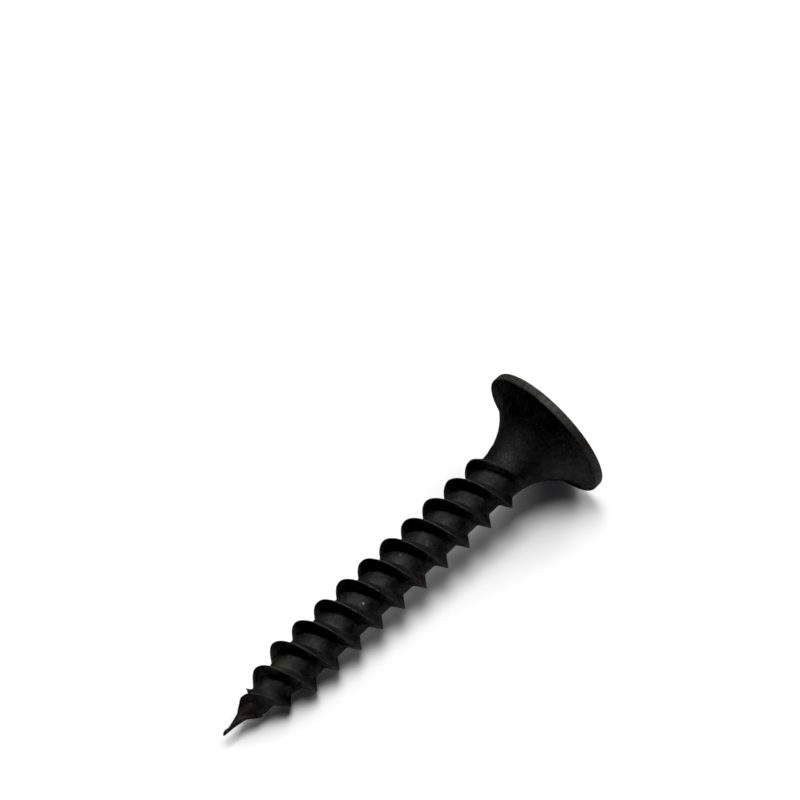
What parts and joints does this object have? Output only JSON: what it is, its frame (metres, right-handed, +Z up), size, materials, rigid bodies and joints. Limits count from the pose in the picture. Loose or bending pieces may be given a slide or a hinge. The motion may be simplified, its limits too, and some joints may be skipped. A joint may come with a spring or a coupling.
{
  "type": "drywall screw",
  "caption": "Drywall screw with a bugle head, a cross recess, a fine right-handed thread and a sharp point, in black phosphated steel.",
  "frame": {"origin": "centre of the base of the screw's box as it lies on its head's edge and a crest of its thread", "axes": "+Z up from the surface that the screw lies on, +X along the screw from its head to its tip, which tilts 7.2 degrees down towards the tip"},
  "size_m": [0.0254, 0.0082, 0.0082],
  "materials": {
    "black_phosphate": "matt black phosphate on steel, slightly mottled, worn light along the rim of the head and the crests of the thread"
  },
  "bodies": {
    "root": {"drywall_screw": "black_phosphate"}
  },
  "joints": []
}
